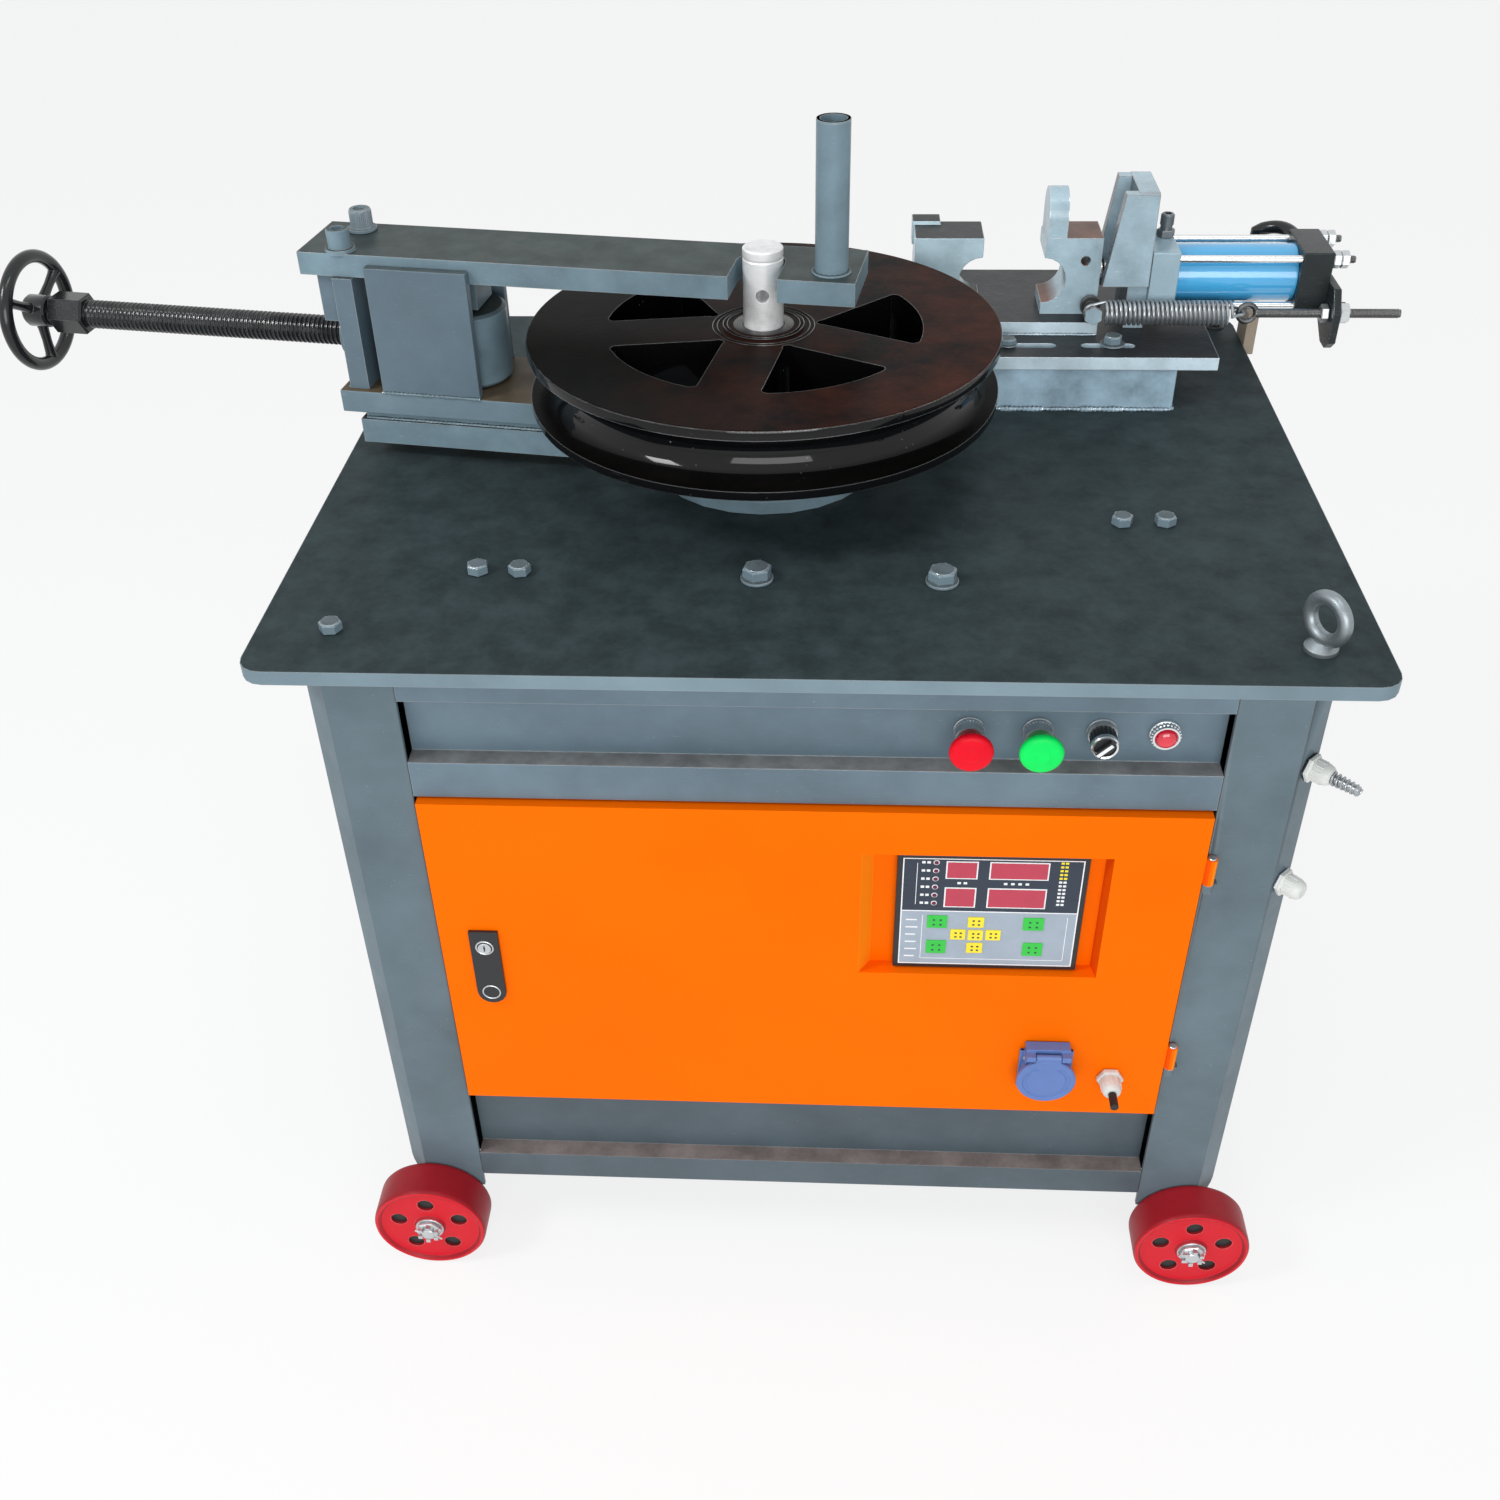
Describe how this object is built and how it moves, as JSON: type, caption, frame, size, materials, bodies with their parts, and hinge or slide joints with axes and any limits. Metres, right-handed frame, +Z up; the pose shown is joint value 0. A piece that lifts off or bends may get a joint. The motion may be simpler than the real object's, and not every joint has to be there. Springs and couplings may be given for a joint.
{
  "type": "tube bending machine",
  "caption": "Wheeled tube bending machine: swinging arm with a pressure roller round a grooved die, tube clamp with cylinder, door with counter unit.",
  "frame": {"origin": "on the floor under the middle of the machine's box, with the arm at rest to the left", "axes": "+X to the machine's right seen from the door, +Y from the door to the back, +Z up"},
  "size_m": [1.4988, 0.8072, 1.212],
  "materials": {
    "machine_grey": "worn semi-gloss blue-grey paint",
    "table_grey": "worn semi-gloss dark grey paint",
    "door_orange": "semi-gloss orange paint",
    "die_black": "glossy black paint",
    "bright_steel": "machined",
    "dark_steel": "dark oiled",
    "black_paint": "gloss black paint",
    "cylinder_blue": "gloss blue paint",
    "wheel_red": "semi-gloss",
    "button_red": "gloss",
    "button_green": "gloss",
    "socket_blue": "satin",
    "white_plastic": "satin",
    "black_rubber": "matt",
    "black_plastic": "satin",
    "galvanised": "galvanised"
  },
  "bodies": {
    "frame": {"table_top": "table_grey", "post_front_left": "machine_grey", "post_front_right": "machine_grey", "post_back_left": "machine_grey", "post_back_right": "machine_grey", "control_panel": "machine_grey", "bottom_panel": "machine_grey", "cabinet_shell": "machine_grey", "drive_shelf": "machine_grey", "axle_left": "dark_steel", "axle_right": "dark_steel", "side_gland_upper": "white_plastic", "side_gland_lower": "white_plastic", "contact_block": "bright_steel", "pilot_lamp": "button_red", "spindle": "bright_steel", "bearing_housing": "machine_grey", "bending_die": "die_black", "gearmotor": "machine_grey", "hydraulic_unit": "machine_grey", "clamp_block": "machine_grey", "clamp_rail": "machine_grey", "fixed_jaw": "machine_grey", "cylinder_bracket": "machine_grey", "cylinder_front_cap": "black_paint", "cylinder_barrel": "cylinder_blue", "cylinder_rear_cap": "black_paint", "return_spring": "dark_steel", "spring_adjuster": "dark_steel", "rear_hose": "black_rubber", "eye_bolt": "galvanised"},
    "arm": {"arm_base_plate": "machine_grey", "arm_lower_plate": "machine_grey", "arm_end_plate": "machine_grey", "front_side_plate": "machine_grey", "rear_side_plate": "machine_grey", "arm_gear": "dark_steel", "pivot_screw": "machine_grey"},
    "roller_slide": {"roller_carrier": "machine_grey"},
    "roller": {"pressure_roller": "machine_grey"},
    "screw": {"feed_screw": "black_paint", "handwheel": "black_paint"},
    "top_plate": {"arm_top_plate": "machine_grey"},
    "pinion": {"drive_pinion": "dark_steel"},
    "jaw": {"moving_jaw": "machine_grey", "piston_rod": "bright_steel"},
    "door": {"door_panel": "door_orange", "controller": "black_plastic", "lock_plate": "black_plastic", "mains_socket": "socket_blue", "door_gland": "white_plastic"},
    "lock": {"lock_barrel": "bright_steel"},
    "flap": {"socket_flap": "socket_blue"},
    "red_head": {"red_button": "button_red"},
    "green_head": {"green_button": "button_green"},
    "selector": {"selector_knob": "black_plastic"},
    "front_left_wheel": {"wheel_front_left": "wheel_red"},
    "front_right_wheel": {"wheel_front_right": "wheel_red"},
    "back_left_wheel": {"wheel_back_left": "wheel_red"},
    "back_right_wheel": {"wheel_back_right": "wheel_red"}
  },
  "joints": [
    {"name": "arm_swing", "type": "hinge", "parent": "frame", "child": "arm", "pos_m": [0.06437, 0.005, 0.9], "axis": [0, 0, 1], "range_deg": [-6.5, 188.5]},
    {"name": "roller_feed", "type": "slide", "parent": "arm", "child": "roller_slide", "axis": [0.989, -0.1478, 0], "range_m": [-0.014, 0.02]},
    {"name": "roller_spin", "type": "hinge", "parent": "roller_slide", "child": "roller", "pos_m": [-0.24223, 0.05082, 0.97], "axis": [0, 0, 1], "continuous": true},
    {"name": "screw_turn", "type": "hinge", "parent": "roller_slide", "child": "screw", "pos_m": [-0.53893, 0.09516, 0.97], "axis": [0.989, -0.1478, 0], "range_deg": [-1009, 1441]},
    {"name": "top_plate_swing", "type": "hinge", "parent": "arm", "child": "top_plate", "pos_m": [-0.35029, 0.09225, 1.06], "axis": [0, 0, 1], "range_deg": [0, 45]},
    {"name": "pinion_turn", "type": "hinge", "parent": "frame", "child": "pinion", "pos_m": [0.25217, 0.005, 0.8], "axis": [0, 0, 1], "range_deg": [-566, 20]},
    {"name": "clamp_slide", "type": "slide", "parent": "frame", "child": "jaw", "axis": [-1, 0, 0], "range_m": [0, 0.066], "deforming": ["return_spring"]},
    {"name": "door_hinge", "type": "hinge", "parent": "frame", "child": "door", "pos_m": [0.50117, -0.3517, 0.47], "axis": [0, 0, 1], "range_deg": [0, 110]},
    {"name": "lock_turn", "type": "hinge", "parent": "door", "child": "lock", "pos_m": [-0.21063, -0.345, 0.491], "axis": [0, 1, 0], "range_deg": [0, 90]},
    {"name": "flap_lift", "type": "hinge", "parent": "door", "child": "flap", "pos_m": [0.37037, -0.3721, 0.364], "axis": [-1, 0, 0], "range_deg": [0, 110]},
    {"name": "red_press", "type": "slide", "parent": "frame", "child": "red_head", "axis": [0, 1, 0], "range_m": [0, 0.004], "stiffness_N_per_m": 300},
    {"name": "green_press", "type": "slide", "parent": "frame", "child": "green_head", "axis": [0, 1, 0], "range_m": [0, 0.004], "stiffness_N_per_m": 300},
    {"name": "selector_turn", "type": "hinge", "parent": "frame", "child": "selector", "pos_m": [0.38537, -0.34, 0.754], "axis": [0, 1, 0], "range_deg": [-45, 45]},
    {"name": "front_left_spin", "type": "hinge", "parent": "frame", "child": "front_left_wheel", "pos_m": [-0.31963, -0.3678, 0.065], "axis": [0, 1, 0], "continuous": true},
    {"name": "front_right_spin", "type": "hinge", "parent": "frame", "child": "front_right_wheel", "pos_m": [0.55837, -0.3678, 0.065], "axis": [0, 1, 0], "continuous": true},
    {"name": "back_left_spin", "type": "hinge", "parent": "frame", "child": "back_left_wheel", "pos_m": [-0.31963, 0.3678, 0.065], "axis": [0, 1, 0], "continuous": true},
    {"name": "back_right_spin", "type": "hinge", "parent": "frame", "child": "back_right_wheel", "pos_m": [0.55837, 0.3678, 0.065], "axis": [0, 1, 0], "continuous": true}
  ],
  "couplings": [
    {"joint": "pinion_turn", "follows": "arm_swing", "ratio": -3},
    {"joint": "screw_turn", "follows": "roller_feed", "rad_per_m": 1256.6}
  ]
}
